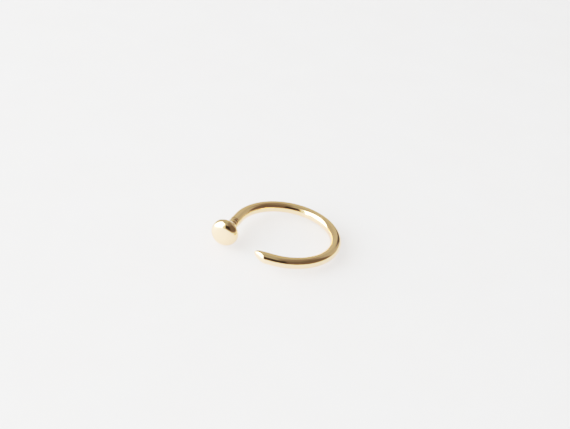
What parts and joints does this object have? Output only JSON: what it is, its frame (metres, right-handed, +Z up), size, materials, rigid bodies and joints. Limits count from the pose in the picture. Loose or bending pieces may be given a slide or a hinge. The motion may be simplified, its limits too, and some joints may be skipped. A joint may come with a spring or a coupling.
{
  "type": "open hoop earring",
  "caption": "Small open hoop earring of polished gold wire, with a domed button head on one end and a slanted, rounded tip on the other.",
  "frame": {"origin": "on the surface, under the middle of the box round the hoop as it lies on its side", "axes": "+Z up from the surface, +X along the longest side with the head at -X, and -Y towards the side with the gap"},
  "size_m": [0.0092, 0.008, 0.002],
  "materials": {
    "polished_gold": "polished gold-filled wire"
  },
  "bodies": {
    "root": {"hoop": "polished_gold"}
  },
  "joints": []
}
